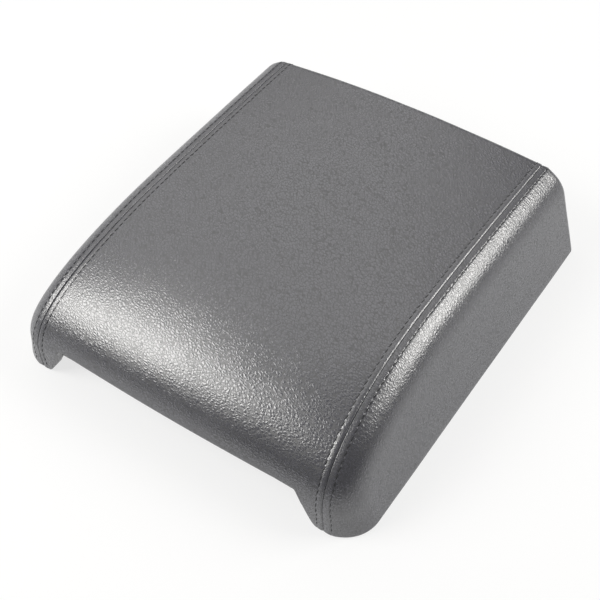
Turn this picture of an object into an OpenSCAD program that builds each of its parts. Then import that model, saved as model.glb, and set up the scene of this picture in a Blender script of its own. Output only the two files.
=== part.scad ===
// Centre console armrest: a hinged, leather-covered lid with its inner liner, latch and hinge.
// Millimetres. X runs across the lid, Y to the rear where the hinge is, Z up.
// The origin is the middle of the outline, on the surface that the skirt stands on.

/* [Lid] */
// Width over the bottom of the skirt
lid_w = 250; // [230:1:290]
// Length from the front to the rear wall
lid_l = 258; // [240:1:320]
// Height of the seam line where the lid is flat
seam_h = 65.5; // [62:0.5:80]
// Rise of the padded top above the seam line
crown_h = 4.5; // [2:0.5:8]
// How far the top drops toward the rear
rear_drop = 4; // [0:0.5:6]
// Lean of the side walls in degrees
side_lean = 14; // [8:0.5:16]
// Radius of the shoulder between the top and the sides
shoulder_r = 21.5; // [17:0.5:24]
// Radius of the rear edge
rear_edge_r = 5; // [3:0.5:8]
// Bow of the front face between the seams
front_bow = 0.8; // [0:0.1:2]

/* [Front roll] */
// Distance from the front at which the top begins to fall
roll_start = 116; // [100:1:150]
// Length over which the roll keeps the direction of the top
roll_lead = 36; // [25:1:50]
// Height of the upright part of the front
upright_h = 16; // [12:1:20]
// Height over which the roll keeps the direction of the front
roll_rise = 42; // [34:1:46]

/* [Finger recess] */
// Height of the lip above the standing surface
lip_h = 26; // [18:0.5:30]
// Distance of a lobe's inner foot from the outer edge of the skirt
lobe_w = 26.5; // [25:0.5:37]
// Width over which the arch beside a lobe rises to the lip
arch_w = 15; // [12:1:40]
// Room beside the hinge leaf in the opening of the rear wall
hinge_gap_side = 19; // [18:1:22]
// Height of the opening for the hinge in the rear wall
hinge_gap_h = 44; // [40:0.5:46]

/* [Layers] */
// Thickness of the leather with its backing
leather_t = 1.3; // [1:0.1:1.8]
// Thickness of the foam
foam_t = 5; // [3.5:0.5:6]
// Wall of the upper shell
shell_t = 2.8; // [2:0.1:3.5]
// Wall of the inner liner
liner_t = 2.5; // [2:0.1:3]
// Glue line between two layers
glue_gap = 0.2; // [0.1:0.05:0.3]
// Distance of the edge of the turned-in leather from the shell's inner face
hem_back = 0.3; // [0.1:0.1:2.5]
// Distance of the seam beyond the start of the shoulder
seam_out = 3.3; // [1:0.1:5]
// Gap between two leather panels at the seam
seam_gap = 0.3; // [0.2:0.05:0.5]

/* [Liner] */
// Height of the underside of the liner plate
liner_plate_h = 38; // [36:0.5:40]
// Distance of the liner's front wall from the front at its foot
liner_front = 13.5; // [13:0.5:17]
// Distance of the liner's front wall from the front at its top
liner_front_top = 34; // [33:0.5:40]
// Height of the liner's foot above the standing surface
liner_foot_h = 0.5; // [0.5:0.5:5]
// Clearance between the liner and the upper shell
liner_clear = 0.4; // [0.3:0.1:0.8]
// Radius of the liner's upright corners
liner_corner_r = 14; // [8:1:20]
// Distance of the liner screws from the outer edge of the skirt
liner_screw_inset = 37; // [33:1:45]
// Diameter of the liner screws
liner_screw_d = 4; // [3:0.5:5]
// Diameter of the rubber bump stops
bump_d = 13; // [10:0.5:18]
// Height of a bump stop below the liner plate
bump_h = 4; // [3:0.5:8]

/* [Latch] */
// Diameter of the latch pin
latch_pin_d = 4; // [3:0.5:5]
// Distance of the latch pin from the front
latch_pin_y = 48; // [47:0.5:52]
// Height of the latch pin
latch_pin_h = 24; // [23:0.5:26]
// Width of the latch paddle
paddle_w = 62; // [50:1:70]
// Thickness of the latch paddle
paddle_t = 3; // [2.5:0.5:4]
// Distance of the paddle's tip from the front
paddle_tip_y = 15; // [14.5:0.5:18]
// Height of the underside of the paddle's tip
paddle_tip_h = 14; // [12:0.5:16]
// Width of the latch hook
hook_w = 16; // [10:1:20]
// Wire of the latch spring
latch_wire_d = 0.9; // [0.7:0.1:1.2]

/* [Hinge] */
// Diameter of the hinge pin
hinge_pin_d = 6; // [5:0.5:7]
// Distance of the hinge pin from the rear wall
hinge_pin_rear = 21; // [20:0.5:24]
// Height of the hinge pin
hinge_pin_h = 28; // [27:0.5:29]
// Width of the hinge leaf
leaf_w = 76; // [70:1:84]
// Thickness of the hinge leaf
leaf_t = 2.5; // [2:0.1:3]
// Height of the leaf's lower edge above the standing surface
leaf_foot_h = 2; // [1.5:0.5:4]
// Spacing of the leaf's holes across the lid
leaf_hole_x = 56; // [50:1:60]
// Spacing of the leaf's holes down the leaf
leaf_hole_z = 10; // [9:0.5:11]
// Diameter of the leaf's holes
leaf_hole_d = 5.2; // [4.2:0.1:5.6]
// Running clearance of a pin in its bore, on the diameter
pin_clear = 0.1; // [0.06:0.02:0.16]

/* [Hidden] */
$fn = 48;

leather_colour = [0.24, 0.24, 0.25];
side_colour = [0.27, 0.27, 0.28];
foam_colour = [0.78, 0.74, 0.62];
shell_colour = [0.16, 0.16, 0.17];
plastic_colour = [0.12, 0.12, 0.13];
steel_colour = [0.70, 0.71, 0.73];
rubber_colour = [0.08, 0.08, 0.08];

front_y = -lid_l / 2;
rear_y = lid_l / 2;
lean_tan = tan(side_lean);
face_y = front_y + front_bow;
flat_y = front_y + roll_start;
lobe_half_w = lid_w / 2 - lobe_w;
lip_half_w = lobe_half_w - arch_w;
hinge_gap_half_w = leaf_w / 2 + hinge_gap_side;

// Depth of each layer's outer and inner face below the leather
foam_out = leather_t + glue_gap;
foam_in = foam_out + foam_t;
shell_out = foam_in + glue_gap;
shell_in = shell_out + shell_t;
hem_w = shell_in - leather_t - hem_back;
layer_foot = leather_t + glue_gap;

// Side profile at the seam: station 0 to 1 is the upright front, 1 to 2 the roll, 2 to 3 the top
roll_pts = [
    [face_y, upright_h],
    [face_y, upright_h + roll_rise],
    [flat_y - roll_lead, seam_h],
    [flat_y, seam_h]
];
function curve(p, t) =
    pow(1 - t, 3) * p[0] + 3 * t * pow(1 - t, 2) * p[1] + 3 * t * t * (1 - t) * p[2] + pow(t, 3) * p[3];
function curve_dir(p, t) =
    pow(1 - t, 2) * (p[1] - p[0]) + 2 * t * (1 - t) * (p[2] - p[1]) + t * t * (p[3] - p[2]);
function unit(v) = v / norm(v);
function clamp(x, lo = 0, hi = 1) = min(max(x, lo), hi);
function smooth(x) = let (t = clamp(x)) t * t * (3 - 2 * t);

// The rear edge of a layer at depth d keeps a small radius
least_edge_r = 1;
function edge_r(d) = max(rear_edge_r - d, least_edge_r);
function top_end(d) = rear_y - d - edge_r(d);
function top_z(y) = seam_h - rear_drop * pow((y - flat_y) / (rear_y - flat_y), 2);
// The faces of a layer turn level over this stretch before the rear edge
level_from = 90;
level_run = 40;
function top_slope(y) = 2 * rear_drop * (y - flat_y) / pow(rear_y - flat_y, 2)
    * (1 - clamp((y - flat_y - level_from) / level_run));

// A station gives [y, z, normal y, normal z]
function station(u, d) =
    u <= 1 ? [face_y, upright_h * u, -1, 0]
    : u <= 2 ? let (p = curve(roll_pts, u - 1), n = unit(curve_dir(roll_pts, u - 1))) [p.x, p.y, -n.y, n.x]
    : let (y = flat_y + (u - 2) * (top_end(d) - flat_y), n = unit([top_slope(y), 1])) [y, top_z(y), n.x, n.y];

// Start of the shoulder arc, and the angle at which it runs into the leaning side wall
function arc_x(s) =
    lid_w / 2 - lean_tan * (s[1] - s[3] * shoulder_r) - shoulder_r * sqrt(1 + pow(lean_tan * s[3], 2));
function arc_end(s) = 90 - atan(lean_tan * s[3]);
// The seam lies at this angle of the arc, and runs straight down the upright part of the front
function seam_turn(s) = asin((seam_out - lean_tan * max(upright_h - s[1], 0)) / shoulder_r);
// The crown grows from the bow of the front face to its full rise over these heights
crown_from = 5;
crown_full = 0.9 * seam_h;
function crown_at(z) =
    front_bow + (crown_h - front_bow) * clamp((z - crown_from) / (crown_full - crown_from));

// Height of the lower edge: an arch over the finger recess, and the hinge opening at the rear
function front_low(x) = lip_h * (1 - smooth((abs(x) - lip_half_w) / (lobe_half_w - lip_half_w)));
hinge_gap_slope_w = 6;
function rear_low(x) = hinge_gap_h * (1 - clamp((abs(x) - hinge_gap_half_w) / hinge_gap_slope_w));

// A column is [kind, place]: kind 0 is the band between the seams with place -1 to 1,
// kind 1 the shoulder arc with place 0 to 1, kind 2 the foot of the side wall
seam_x_front = lid_w / 2 - lean_tan * upright_h - shoulder_r + seam_out;
function is_band(c) = c[0] == 0;
function column_x(c) = is_band(c) ? c[1] * seam_x_front : lid_w;
function arc_angle(s, c) = seam_turn(s) + (arc_end(s) - seam_turn(s)) * c[1];
function depth_in(s, c, d) = is_band(c)
    ? shoulder_r - (shoulder_r - d) * cos(seam_turn(s)) - crown_at(s[1]) * (1 - c[1] * c[1])
    : shoulder_r - (shoulder_r - d) * cos(arc_angle(s, c));
function height_in(u, c, d) = let (s = station(u, d)) s[1] - s[3] * depth_in(s, c, d);

// Station at which a column of a layer comes down to height z
function station_at(z, c, d, lo = 0, hi = 1.6, n = 22) =
    n == 0 ? (lo + hi) / 2
    : let (m = (lo + hi) / 2) height_in(m, c, d) < z
        ? station_at(z, c, d, m, hi, n - 1)
        : station_at(z, c, d, lo, m, n - 1);

// A point of the section at station s, at depth d, on the side given by sg
function section_point(s, c, d, sg) = let (k = depth_in(s, c, d))
    is_band(c)
    ? [c[1] * (arc_x(s) + (shoulder_r - d) * sin(seam_turn(s)) - seam_gap / 2),
        s[0] - s[2] * k, s[1] - s[3] * k]
    : [sg * (arc_x(s) + (shoulder_r - d) * sin(arc_angle(s, c)) + seam_gap / 2 * (1 - c[1])),
        s[0] - s[2] * k, s[1] - s[3] * k];

// The foot of the side wall below a point e, spread forward under the roll
wall_fan = 12;
wall_fan_rise = 0.55;
wall_fan_run = 100;
function fan(y) = 1 - smooth((y - face_y - shoulder_r) / wall_fan_run);
function wall_foot(e, d, z, sg) =
    [sg * (lid_w / 2 - lean_tan * z - d * sqrt(1 + lean_tan * lean_tan)),
        e.y + fan(e.y) * (wall_fan + wall_fan_rise * (e.z - z)), z];

// Rows of the grid: front stations, then [3 + b/90] round the rear edge, then 5 at the rear foot
front_rows = [0, 0.3, 0.6, 0.9, 1.15, 1.3, 1.45, 1.6, 1.7, 1.8, 1.9, 2, 2.35, 2.7, 3];
edge_rows = [3.34, 3.67, 4];
rows = concat(front_rows, edge_rows, [5]);

// Over the recess the rows close up: they share out the length from the lower edge to this station.
// A station of the roll is about this long
remap_end = 1.6;
roll_reach = 100;
function reach(u) = u < 1 ? upright_h * u : upright_h + roll_reach * (u - 1);
function reached(r) = r < upright_h ? r / upright_h : 1 + (r - upright_h) / roll_reach;
function remapped(u, u0) = let (share = reach(u) / reach(remap_end))
    reached(reach(u0) * (1 - share) + reach(u));

function front_point(u, c, d, z_foot, sg) = let (
        low = front_low(column_x(c)) + z_foot,
        a = is_band(c) || c[0] == 1 ? c : [1, 1],
        u0 = station_at(low, a, d),
        v = u < remap_end ? remapped(u, u0) : u,
        p = section_point(station(v, d), a, d, sg),
        q = u == 0 ? [p.x, p.y, low] : p)
    c[0] == 2 ? wall_foot(q, d, z_foot, sg) : q;

function edge_point(u, c, d, z_foot, sg) = let (
        b = (u - 3) * 90,
        r = edge_r(d),
        inset = d + r * (1 - cos(b)),
        s = [top_end(d) + r * sin(b), top_z(top_end(d)), 0, 1],
        a = c[0] == 2 ? [1, 1] : c,
        p = section_point(s, a, inset, sg))
    c[0] == 2 ? [wall_foot(p, inset, z_foot, sg).x, p.y, z_foot] : p;

function layer_point(u, c, d, z_foot, sg) =
    u <= 3 ? front_point(u, c, d, z_foot, sg)
    : u <= 4 ? edge_point(u, c, d, z_foot, sg)
    : let (p = edge_point(4, c, d, z_foot, sg)) c[0] == 2 ? p : [p.x, p.y, rear_low(p.x) + z_foot];

// The hem repeats the edge of the grid at a greater depth and the same height
function hem_point(u, c, d, z_foot, sg) = let (
        p = layer_point(u, c, d, z_foot, sg),
        q = layer_point(u, c, d + hem_w, z_foot, sg))
    [q.x, q.y, p.z];

// Columns from the left foot over the top to the right foot
arch_steps = 5;
seam_x_rear = arc_x(station(3, 0)) + seam_out;
gap_place = hinge_gap_half_w / seam_x_rear;
gap_end_place = (hinge_gap_half_w + hinge_gap_slope_w) / seam_x_rear;
band_half = concat([0, gap_place / 2, gap_place, gap_end_place],
    [for (i = [0:arch_steps]) (lip_half_w + arch_w * i / arch_steps) / seam_x_front], [1]);
band_places = concat([for (i = [len(band_half) - 1:-1:1]) -band_half[i]], band_half);
arc_steps = 6;
function band_columns() = [for (q = band_places) [0, q, 1]];
function side_columns(sg, first = 0) = [for (i = [first:arc_steps]) [1, i / arc_steps, sg], [2, 1, sg]];
function reversed(v) = [for (i = [len(v) - 1:-1:0]) v[i]];

function layer_grid(columns, d, z_foot) =
    [for (u = rows) [for (c = columns) layer_point(u, c, d, z_foot, c[2])]];

// Grid of a leather panel with its hem along the front, the rear and the foot of the side wall
function hem_row(columns, u, d, z_foot) = [for (c = columns) hem_point(u, c, d, z_foot, c[2])];
function with_foot_hem(row, c, u, d, z_foot) =
    c[0] != 2 ? row : concat(row, [hem_point(u, c, d, z_foot, c[2])]);
function panel_grid(columns, d, z_foot) = let (last = columns[len(columns) - 1])
    concat(
        [with_foot_hem(hem_row(columns, rows[0], d, z_foot), last, rows[0], d, z_foot)],
        [for (u = rows) with_foot_hem([for (c = columns) layer_point(u, c, d, z_foot, c[2])],
            last, u, d, z_foot)],
        [with_foot_hem(hem_row(columns, 5, d, z_foot), last, 5, d, z_foot)]);

// A closed skin between two grids of the same size
least_edge = 0.0005;
function sound(pts, f) =
    norm(pts[f[0]] - pts[f[1]]) > least_edge && norm(pts[f[1]] - pts[f[2]]) > least_edge
    && norm(pts[f[2]] - pts[f[0]]) > least_edge;
function quad(a, b, c, d, other = false) = other ? [[a, b, d], [b, c, d]] : [[a, b, c], [a, c, d]];
function flat(v) = [for (a = v) for (b = a) b];
// Columns listed in other are split along the other diagonal: both halves mirror each other,
// and no triangle lies along the straight foot of a side wall
function in_list(j, v) = len(search(j, v)) > 0;
module skin(outer, inner, flip = false, other = []) {
    m = len(outer);
    n = len(outer[0]);
    end = (m - 1) * n;
    pts = concat(flat(outer), flat(inner));
    k = m * n;
    faces = flat(concat(
        [for (i = [0:m - 2]) for (j = [0:n - 2])
            quad(i * n + j, i * n + j + 1, (i + 1) * n + j + 1, (i + 1) * n + j,
                in_list(j, other))],
        [for (i = [0:m - 2]) for (j = [0:n - 2])
            quad(k + i * n + j, k + (i + 1) * n + j, k + (i + 1) * n + j + 1, k + i * n + j + 1,
                in_list(j, other))],
        [for (i = [0:m - 2]) quad(i * n, (i + 1) * n, k + (i + 1) * n, k + i * n)],
        [for (i = [1:m - 1]) quad(i * n - 1, k + i * n - 1, k + (i + 1) * n - 1, (i + 1) * n - 1)],
        [for (j = [0:n - 2]) quad(j, k + j, k + j + 1, j + 1)],
        [for (j = [0:n - 2]) quad(end + j, end + j + 1, k + end + j + 1, k + end + j)]
    ));
    good = [for (f = faces) if (sound(pts, f)) flip ? f : [f[0], f[2], f[1]]];
    polyhedron(points = pts, faces = good, convexity = 8);
}

// Leather panels
module panel(columns, other, flip = false) {
    skin(panel_grid(columns, 0, 0), panel_grid(columns, leather_t, leather_t), flip, other);
}
module centre_cover() {
    color(leather_colour) panel(band_columns(), [for (j = [0:len(band_half) - 2]) j]);
}
module left_cover() {
    color(side_colour) panel(side_columns(-1), [arc_steps], true);
}
module right_cover() {
    color(side_colour) panel(side_columns(1), [arc_steps]);
}

// Layers under the leather
all_columns = concat(reversed(side_columns(-1, 1)), band_columns(), side_columns(1, 1));
module layer(outside, inside) {
    last = len(all_columns) - 2;
    skin(layer_grid(all_columns, outside, layer_foot), layer_grid(all_columns, inside, layer_foot),
        other = concat([for (j = [1:last / 2]) j], [last]));
}
module foam_pad() {
    color(foam_colour) layer(foam_out, foam_in);
}

// Places of the liner screws, and the height of the shell's inner face above them
screw_row_front = 84;
screw_row_rear = 46;
liner_screw_x = lid_w / 2 - liner_screw_inset;
first_screw_y = front_y + screw_row_front;
last_screw_y = rear_y - screw_row_rear;
liner_screw_rows = [first_screw_y, (first_screw_y + last_screw_y) / 2, last_screw_y];
liner_screw_places = [for (y = liner_screw_rows) for (sx = [-1, 1]) [sx * liner_screw_x, y]];
plate_top = liner_plate_h + liner_t;
boss_wall = 3;
boss_d = liner_screw_d + 2 * boss_wall;
screw_clear = 0.1;
// How far a cut runs past the face that it opens
cut = 1;
function station_at_y(y, lo = 1, hi = 3, n = 22) =
    n == 0 ? station((lo + hi) / 2, 0)
    : let (m = (lo + hi) / 2) station(m, 0)[0] < y
        ? station_at_y(y, m, hi, n - 1)
        : station_at_y(y, lo, m, n - 1);
function shell_height(x, y) = let (s = station_at_y(y), q = x / (arc_x(s) + seam_out))
    s[1] + crown_at(s[1]) * (1 - q * q) - shell_in / s[3];
module screw_boss(p) {
    h = shell_height(p.x, p.y) + shell_t / 2 - plate_top;
    translate([p.x, p.y, plate_top]) cylinder(d = boss_d, h = h);
}
module upper_shell() {
    color(shell_colour) difference() {
        union() {
            layer(shell_out, shell_in);
            for (p = liner_screw_places) screw_boss(p);
        }
        for (p = liner_screw_places)
            translate([p.x, p.y, plate_top - cut])
                cylinder(d = liner_screw_d + screw_clear, h = liner_screw_l);
    }
}

// Inner liner: a tray that closes the underside
rim_scale = sqrt(1 + lean_tan * lean_tan);
function liner_half_w(z, wall = 0) = lid_w / 2 - lean_tan * z - (shell_in + wall) * rim_scale - liner_clear;
liner_slope = (liner_front_top - liner_front) / (plate_top - liner_foot_h);
function liner_front_at(z, wall = 0) =
    front_y + liner_front + liner_slope * (z - liner_foot_h) + wall * sqrt(1 + liner_slope * liner_slope);
liner_rear = rear_y - shell_in - liner_clear;
function round_box(x0, x1, y0, y1, r, steps = 6) =
    [for (k = [0:3]) for (i = [0:steps]) let (a = 90 * k + 90 * i / steps)
        [(k == 0 || k == 3 ? x1 - r : x0 + r) + r * cos(a), (k < 2 ? y1 - r : y0 + r) + r * sin(a)]];
slab_t = 0.01;
module liner_slab(z, wall) {
    w = liner_half_w(z, wall);
    translate([0, 0, z]) linear_extrude(slab_t)
        polygon(round_box(-w, w, liner_front_at(z, wall), liner_rear - wall, liner_corner_r - wall));
}
module liner_form(low, high, wall) {
    hull() {
        liner_slab(low, wall);
        liner_slab(high - slab_t, wall);
    }
}
// Window in the front wall for the paddle, and the cut in the rear wall for the hinge
window_side = 2;
window_under = 0.3;
window_over = 11;
window_half_w = paddle_w / 2 + window_side;
window_low = paddle_tip_h - window_under;
window_high = paddle_tip_h + paddle_t + window_over;
rear_cut_inset = 3;
rear_cut_half_w = hinge_gap_half_w - rear_cut_inset;
bump_stem_d = 5;
bump_inset = 35;
bump_front = 56;
bump_rear = 28;
bump_x = lid_w / 2 - bump_inset;
bump_rows = [front_y + bump_front, rear_y - bump_rear];
liner_hole_clear = 0.4;
stem_clear = 0.2;
module plate_hole(p, d) {
    translate([p.x, p.y, liner_plate_h - cut]) cylinder(d = d, h = liner_t + 2 * cut);
}
module inner_liner() {
    color(plastic_colour) difference() {
        liner_form(liner_foot_h, plate_top, 0);
        liner_form(liner_foot_h - cut, liner_plate_h, liner_t);
        translate([-window_half_w, front_y, window_low])
            cube([2 * window_half_w, liner_front_top + 2 * liner_t, window_high - window_low]);
        translate([-rear_cut_half_w, liner_rear - liner_t - cut, 0])
            cube([2 * rear_cut_half_w, liner_t + 2 * cut, liner_plate_h]);
        for (p = liner_screw_places) plate_hole(p, liner_screw_d + liner_hole_clear);
        for (y = bump_rows) for (sx = [-1, 1]) plate_hole([sx * bump_x, y], bump_stem_d + stem_clear);
        for (p = concat(latch_screw_places, hinge_screw_places))
            plate_hole(p, bracket_screw_d + screw_clear);
    }
}

// Pan-head screw, head down, with the underside of its head at z. Its sizes are shares of the diameter
liner_screw_l = 12;
pan_h = 0.55;
pan_face = 1.5;
pan_rim = 2;
cross_depth = 0.3;
cross_arm = 0.25;
module pan_screw(p, z, d, l) {
    translate([p.x, p.y, z]) {
        cylinder(d = d, h = l);
        difference() {
            translate([0, 0, -pan_h * d]) cylinder(d1 = pan_face * d, d2 = pan_rim * d, h = pan_h * d);
            translate([0, 0, -pan_h * d - cut]) linear_extrude(cross_depth * d + cut) driver_cross(d);
        }
    }
}
module driver_cross(d) {
    square([d, cross_arm * d], center = true);
    square([cross_arm * d, d], center = true);
}
module liner_screws() {
    color(steel_colour) for (p = liner_screw_places)
        pan_screw(p, liner_plate_h, liner_screw_d, liner_screw_l);
}

// Rubber bump stop with a stem and a barb above the plate
barb_h = 2;
barb_out = 1;
barb_in = 0.8;
bump_bevel = 1.2;
module bump_stop(sx, y) {
    r = bump_d / 2;
    stem = bump_stem_d / 2;
    color(rubber_colour) translate([sx * bump_x, y, liner_plate_h]) {
        rotate_extrude() polygon([
            [0, -bump_h], [r - bump_bevel, -bump_h], [r, -bump_h + bump_bevel], [r, 0],
            [stem, 0], [stem, liner_t], [stem + barb_out, liner_t],
            [stem - barb_in, liner_t + barb_h], [0, liner_t + barb_h]
        ]);
    }
}

// Steel bracket: a plate under the liner with two ears that carry a pin
bracket_t = 2;
ear_t = 2.5;
bracket_screw_d = 3.5;
bracket_screw_end = 3;
bracket_screw_l = bracket_t + liner_t + bracket_screw_end;
bracket_corner_r = 5;
module pin_bore(y, z, d, l) {
    translate([-l / 2, y, z]) rotate([0, 90, 0]) cylinder(d = d, h = l);
}
module bracket(half_w, y0, y1, pin_y, pin_z, pin_d, ear_x, ear_r, holes) {
    top = liner_plate_h;
    difference() {
        union() {
            translate([0, 0, top - bracket_t]) linear_extrude(bracket_t)
                polygon(round_box(-half_w, half_w, y0, y1, bracket_corner_r));
            for (sx = [-1, 1]) translate([sx * (ear_x + ear_t / 2), 0, 0]) {
                translate([-ear_t / 2, pin_y, pin_z]) rotate([0, 90, 0]) cylinder(r = ear_r, h = ear_t);
                translate([-ear_t / 2, pin_y - ear_r, pin_z])
                    cube([ear_t, 2 * ear_r, top - bracket_t / 2 - pin_z]);
            }
        }
        pin_bore(pin_y, pin_z, pin_d + pin_clear, 4 * half_w);
        for (p = holes) translate([p.x, p.y, top - bracket_t - cut])
            cylinder(d = bracket_screw_d + screw_clear, h = bracket_t + 2 * cut);
    }
}

// Headed pin with a groove for its clip
pin_head_t = 1.5;
pin_head_out = 1.5;
pin_end = 2;
pin_bevel = 0.4;
clip_t = 0.8;
clip_out = 2;
clip_mouth = 0.8;
clip_slack = 0.2;
end_slack = 0.2;
groove_depth = 0.5;
function pin_half(ear_x) = ear_x + ear_t + end_slack;
module headed_pin(y, z, d, ear_x) {
    x = pin_half(ear_x);
    x_end = x + clip_t + pin_end;
    r = d / 2;
    translate([0, y, z]) rotate([0, 90, 0]) rotate_extrude() polygon([
        [0, -x - pin_head_t], [r + pin_head_out, -x - pin_head_t], [r + pin_head_out, -x], [r, -x],
        [r, x], [r - groove_depth, x], [r - groove_depth, x + clip_t + clip_slack],
        [r, x + clip_t + clip_slack], [r, x_end - pin_bevel], [r - pin_bevel, x_end], [0, x_end]
    ]);
}
clip_gap = 0.05;
module pin_clip(y, z, d, ear_x) {
    r = d / 2 - groove_depth + clip_gap;
    reach = d / 2 + clip_out + cut;
    translate([pin_half(ear_x) + clip_slack / 2, y, z]) rotate([0, 90, 0]) linear_extrude(clip_t)
        difference() {
            circle(r = d / 2 + clip_out);
            circle(r = r);
            translate([-reach, -clip_mouth * r]) square([reach, 2 * clip_mouth * r]);
        }
}

// Latch
latch_y = front_y + latch_pin_y;
latch_ear_x = 21;
latch_ear_r = 6;
latch_flange = 11.5;
latch_half_w = latch_ear_x + ear_t + latch_flange;
latch_plate_front = 10;
latch_plate_rear = 17;
latch_plate_y0 = latch_y - latch_plate_front;
latch_plate_y1 = latch_y + latch_plate_rear;
screw_edge = 5;
latch_screw_rows = [latch_plate_y0 + screw_edge, latch_plate_y1 - screw_edge];
latch_screw_places = [for (sx = [-1, 1]) for (y = latch_screw_rows) [sx * (latch_half_w - screw_edge), y]];
hub_r = 4.5;
spring_room = 11.5;
hub_x0 = -latch_ear_x + end_slack;
hub_x1 = latch_ear_x - spring_room;
module latch_bracket() {
    color(steel_colour) bracket(latch_half_w, latch_plate_y0, latch_plate_y1, latch_y, latch_pin_h,
        latch_pin_d, latch_ear_x, latch_ear_r, latch_screw_places);
}
module bar(x0, x1, y, z, d) {
    translate([x0, y, z]) rotate([0, 90, 0]) cylinder(d = d, h = x1 - x0, $fn = 24);
}
blade_bend = 5;
blade_mid_y = liner_front_at(window_low, liner_t) + blade_bend;
tip_lip = 1;
module latch_paddle() {
    tip_y = front_y + paddle_tip_y + paddle_t / 2;
    tip_z = paddle_tip_h + paddle_t / 2;
    color(plastic_colour) difference() {
        union() {
            hull() {
                bar(-paddle_w / 2, paddle_w / 2, tip_y, tip_z, paddle_t);
                bar(-paddle_w / 2, paddle_w / 2, blade_mid_y, tip_z, paddle_t);
            }
            hull() {
                bar(hub_x0, hub_x1, blade_mid_y, tip_z, paddle_t);
                bar(hub_x0, hub_x1, latch_y, latch_pin_h - hub_r + paddle_t, paddle_t);
            }
            bar(-paddle_w / 2, paddle_w / 2, tip_y, tip_z - tip_lip, paddle_t);
            translate([hub_x0, latch_y, latch_pin_h]) rotate([0, 90, 0])
                cylinder(r = hub_r, h = hub_x1 - hub_x0);
            hook();
        }
        pin_bore(latch_y, latch_pin_h, latch_pin_d + pin_clear, 4 * latch_ear_x);
    }
}
// Hook: a shank down from the pin and a nose that slopes on its underside to ride over the striker
hook_foot_h = 4;
hook_half = 3.5;
hook_bevel = 2;
hook_nose = 6;
hook_ramp = 4;
hook_step = 2;
hook_fillet = 3;
module hook() {
    z0 = hook_foot_h;
    z1 = z0 + hook_ramp;
    z2 = z1 + hook_step;
    nose = hook_nose + hook_bevel;
    throat = hook_half - hook_fillet / 3;
    translate([-hook_w / 2, latch_y, 0]) rotate([90, 0, 90]) linear_extrude(hook_w) polygon([
        [-hook_half, latch_pin_h], [-hook_half, z0 + hook_bevel], [-hook_half + hook_bevel, z0],
        [hook_bevel, z0], [nose, z1], [nose, z2], [throat, z2], [hook_half, z2 + hook_fillet],
        [hook_half, latch_pin_h]
    ]);
}
module latch_pin() {
    color(steel_colour) headed_pin(latch_y, latch_pin_h, latch_pin_d, latch_ear_x);
}
module latch_clip() {
    color(steel_colour) pin_clip(latch_y, latch_pin_h, latch_pin_d, latch_ear_x);
}
module latch_screws() {
    color(steel_colour) for (p = latch_screw_places)
        pan_screw(p, liner_plate_h - bracket_t, bracket_screw_d, bracket_screw_l);
}

// Wire swept along points with a frame that stays close to X
wire_sides = 6;
function path_dir(p, i) = unit(p[min(i + 1, len(p) - 1)] - p[max(i - 1, 0)]);
function wire_ring(p, i, r, side) = let (t = path_dir(p, i), u = unit(cross(side[i], t)), v = cross(t, u))
    [for (k = [0:wire_sides - 1]) let (a = 360 * k / wire_sides) p[i] + r * (cos(a) * u + sin(a) * v)];
module wire(p, side, r) {
    n = len(p);
    pts = flat([for (i = [0:n - 1]) wire_ring(p, i, r, side)]);
    walls = flat([for (i = [0:n - 2]) for (k = [0:wire_sides - 1]) let (k1 = (k + 1) % wire_sides)
        quad(i * wire_sides + k, i * wire_sides + k1, (i + 1) * wire_sides + k1, (i + 1) * wire_sides + k)]);
    polyhedron(points = pts, convexity = 6, faces = concat(walls,
        [[for (k = [wire_sides - 1:-1:0]) k]], [[for (k = [0:wire_sides - 1]) (n - 1) * wire_sides + k]]));
}

// Latch return spring: a coil round the pin, one leg on the paddle's blade and one under the plate
coil_turns = 5.25;
coil_steps = 14;
coil_gap = 0.5;
turn_gap = 0.35;
coil_start = 1;
leg_gap = 0.1;
coil_r = latch_pin_d / 2 + coil_gap + latch_wire_d / 2;
coil_pitch = latch_wire_d + turn_gap;
coil_x0 = hub_x1 + coil_start;
wire_seat = latch_wire_d / 2 + leg_gap;
coil_n = round(coil_turns * coil_steps);
coil_pts = [for (i = [0:coil_n]) let (a = -90 + 360 * i / coil_steps)
    [coil_x0 + coil_pitch * i / coil_steps, latch_y + coil_r * cos(a), latch_pin_h + coil_r * sin(a)]];
spring_pts = concat(
    [[coil_x0, blade_mid_y, paddle_tip_h + paddle_t + wire_seat]],
    coil_pts,
    [[coil_pts[coil_n].x, coil_pts[coil_n].y, liner_plate_h - bracket_t - wire_seat]]);
module latch_spring() {
    color(steel_colour) wire(spring_pts, [for (p = spring_pts) [1, 0, 0]], latch_wire_d / 2);
}

// Hinge
hinge_y = rear_y - hinge_pin_rear;
bush_t = 1.2;
bush_flange = 1;
bush_l = 9;
bush_rim_in = 0.5;
flange_gap = 0.3;
hinge_ear_x = leaf_w / 2 + bush_flange + flange_gap;
hinge_ear_r = 7;
knuckle_wall = 2.3;
knuckle_r = hinge_pin_d / 2 + bush_t + knuckle_wall;
bush_fit = 0.03;
bush_bore_r = hinge_pin_d / 2 + bush_t + bush_fit;
hinge_flange = 5;
hinge_half_w = hinge_ear_x + ear_t + hinge_flange;
hinge_plate_front = 30;
hinge_plate_y0 = hinge_y - hinge_plate_front;
hinge_plate_y1 = hinge_y + hinge_ear_r;
hinge_screw_in = 9.3;
hinge_screw_gap = 12;
hinge_screw_rows = [hinge_plate_y0 + screw_edge, hinge_plate_y0 + screw_edge + hinge_screw_gap];
hinge_screw_places =
    [for (sx = [-1, 1]) for (y = hinge_screw_rows) [sx * (hinge_ear_x - hinge_screw_in), y]];
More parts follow.
